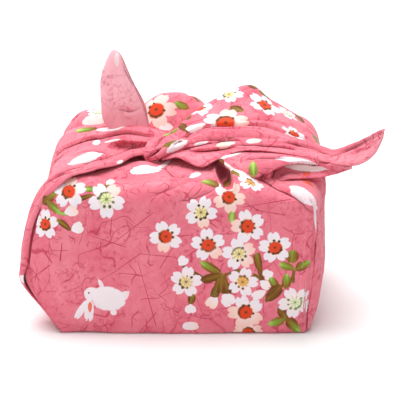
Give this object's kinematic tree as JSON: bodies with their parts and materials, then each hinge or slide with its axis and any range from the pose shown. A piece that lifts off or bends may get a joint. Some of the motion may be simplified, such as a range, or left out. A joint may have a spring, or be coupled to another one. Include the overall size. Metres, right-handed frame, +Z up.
{
  "type": "furoshiki wrap, tied round a lunch box",
  "caption": "Thin printed cotton square drawn round a lunch box and tied on top, hollow, with pleated arms, a knot, a standing horn and a tail",
  "frame": {"origin": "centre of the box space, on the flat underside that the bundle rests on", "axes": "+Z up, -Y towards the front flap, +X towards the long tail"},
  "size_m": [0.1909, 0.116, 0.136],
  "materials": {
    "printed_cotton": "plain-weave printed cotton, matt with a faint sheen"
  },
  "bodies": {
    "root": {"furoshiki_cloth": "printed_cotton"}
  },
  "joints": []
}
